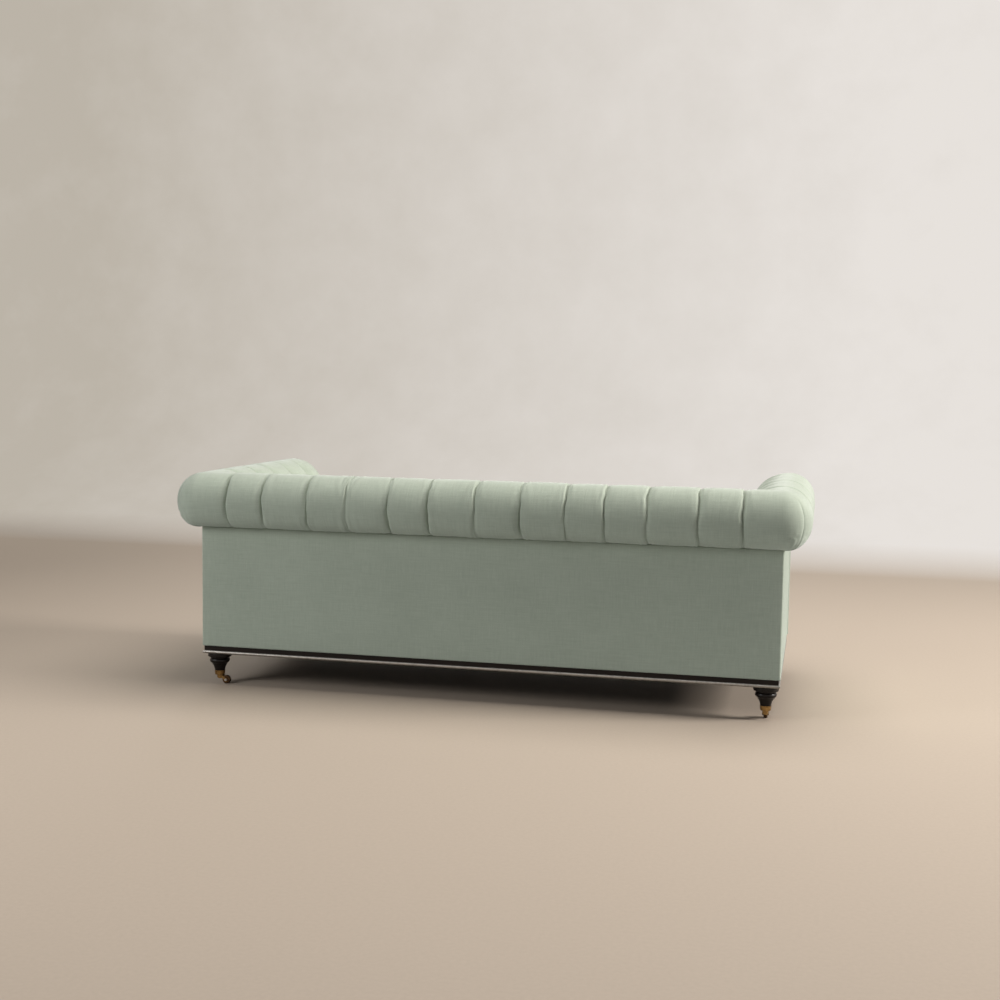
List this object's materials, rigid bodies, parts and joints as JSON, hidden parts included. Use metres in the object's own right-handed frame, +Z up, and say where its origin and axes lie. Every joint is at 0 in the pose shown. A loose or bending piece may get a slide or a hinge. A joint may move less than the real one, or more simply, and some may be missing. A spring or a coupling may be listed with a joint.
{
  "type": "chesterfield sofa",
  "caption": "Chesterfield sofa with rolled, pleated back and arms of one height, tufted inside, loose seat cushions, and turned dark legs on brass casters.",
  "frame": {"origin": "on the floor, under the middle of the sofa's bounding box", "axes": "+X along the sofa to the right of someone facing its front, +Y from its front to its back, +Z up"},
  "size_m": [2.26, 0.99, 0.785],
  "materials": {
    "sage_fabric": "pale sage woven cloth",
    "cushion_foam": "soft wrapped foam",
    "deck_cloth": "plain deck cloth on felt",
    "dark_wood": "dark polished hardwood",
    "frame_wood": "sawn beech",
    "brass": "aged polished brass",
    "steel": "plain bright steel",
    "webbing": "woven jute",
    "dust_cloth": "thin black cambric"
  },
  "bodies": {
    "sofa": {"inside_back": "sage_fabric", "inside_arm_left": "sage_fabric", "inside_arm_right": "sage_fabric", "arm_facing_left": "sage_fabric", "arm_facing_right": "sage_fabric", "outside_back_panel": "sage_fabric", "outside_arm_panel_left": "sage_fabric", "outside_arm_panel_right": "sage_fabric", "front_border": "sage_fabric", "tufting_buttons": "sage_fabric", "deck_pad": "deck_cloth", "plinth_front": "dark_wood", "plinth_back": "dark_wood", "plinth_left": "dark_wood", "plinth_right": "dark_wood", "leg_front_left": "dark_wood", "leg_front_right": "dark_wood", "leg_rear_left": "dark_wood", "leg_rear_right": "dark_wood", "seat_rail_front": "frame_wood", "seat_rail_back": "frame_wood", "seat_rail_left": "frame_wood", "seat_rail_right": "frame_wood", "corner_blocks": "frame_wood", "leg_blocks": "frame_wood", "seat_stretchers": "frame_wood", "back_posts": "frame_wood", "back_tacking_rails": "frame_wood", "back_top_rail": "frame_wood", "arm_stumps": "frame_wood", "arm_top_rails": "frame_wood", "arm_tacking_rails": "frame_wood", "scroll_boards": "frame_wood", "caster_socket_front_left": "brass", "caster_socket_front_right": "brass", "caster_socket_rear_left": "brass", "caster_socket_rear_right": "brass", "leg_bolts": "steel", "seat_springs": "steel", "spring_clips": "steel", "webbing_straps": "webbing", "dust_cover": "dust_cloth"},
    "swivel_front_left": {"caster_horn_front_left": "brass", "caster_axle_front_left": "steel"},
    "wheel_front_left": {"caster_wheel_front_left": "brass"},
    "swivel_front_right": {"caster_horn_front_right": "brass", "caster_axle_front_right": "steel"},
    "wheel_front_right": {"caster_wheel_front_right": "brass"},
    "swivel_rear_left": {"caster_horn_rear_left": "brass", "caster_axle_rear_left": "steel"},
    "wheel_rear_left": {"caster_wheel_rear_left": "brass"},
    "swivel_rear_right": {"caster_horn_rear_right": "brass", "caster_axle_rear_right": "steel"},
    "wheel_rear_right": {"caster_wheel_rear_right": "brass"},
    "cushion_left": {"seat_cushion_cover_left": "sage_fabric", "seat_cushion_core_left": "cushion_foam"},
    "cushion_right": {"seat_cushion_cover_right": "sage_fabric", "seat_cushion_core_right": "cushion_foam"}
  },
  "joints": [
    {"name": "caster_swivel_front_left", "type": "hinge", "parent": "sofa", "child": "swivel_front_left", "pos_m": [-0.994, -0.433, 0.028], "axis": [0, 0, 1], "continuous": true},
    {"name": "caster_roll_front_left", "type": "hinge", "parent": "swivel_front_left", "child": "wheel_front_left", "pos_m": [-0.98931, -0.40641, 0.0155], "axis": [-0.9848, 0.1736, 0], "continuous": true},
    {"name": "caster_swivel_front_right", "type": "hinge", "parent": "sofa", "child": "swivel_front_right", "pos_m": [0.994, -0.433, 0.028], "axis": [0, 0, 1], "continuous": true},
    {"name": "caster_roll_front_right", "type": "hinge", "parent": "swivel_front_right", "child": "wheel_front_right", "pos_m": [0.98259, -0.40853, 0.0155], "axis": [-0.9063, -0.4226, 0], "continuous": true},
    {"name": "caster_swivel_rear_left", "type": "hinge", "parent": "sofa", "child": "swivel_rear_left", "pos_m": [-0.994, 0.359, 0.028], "axis": [0, 0, 1], "continuous": true},
    {"name": "caster_roll_rear_left", "type": "hinge", "parent": "swivel_rear_left", "child": "wheel_rear_left", "pos_m": [-0.994, 0.332, 0.0155], "axis": [1, 0, 0], "continuous": true},
    {"name": "caster_swivel_rear_right", "type": "hinge", "parent": "sofa", "child": "swivel_rear_right", "pos_m": [0.994, 0.359, 0.028], "axis": [0, 0, 1], "continuous": true},
    {"name": "caster_roll_rear_right", "type": "hinge", "parent": "swivel_rear_right", "child": "wheel_rear_right", "pos_m": [0.967, 0.359, 0.0155], "axis": [0, -1, 0], "continuous": true},
    {"name": "cushion_lift_left", "type": "slide", "parent": "sofa", "child": "cushion_left", "axis": [0, 0, 1], "range_m": [0, 0.45]},
    {"name": "cushion_lift_right", "type": "slide", "parent": "sofa", "child": "cushion_right", "axis": [0, 0, 1], "range_m": [0, 0.45]}
  ]
}
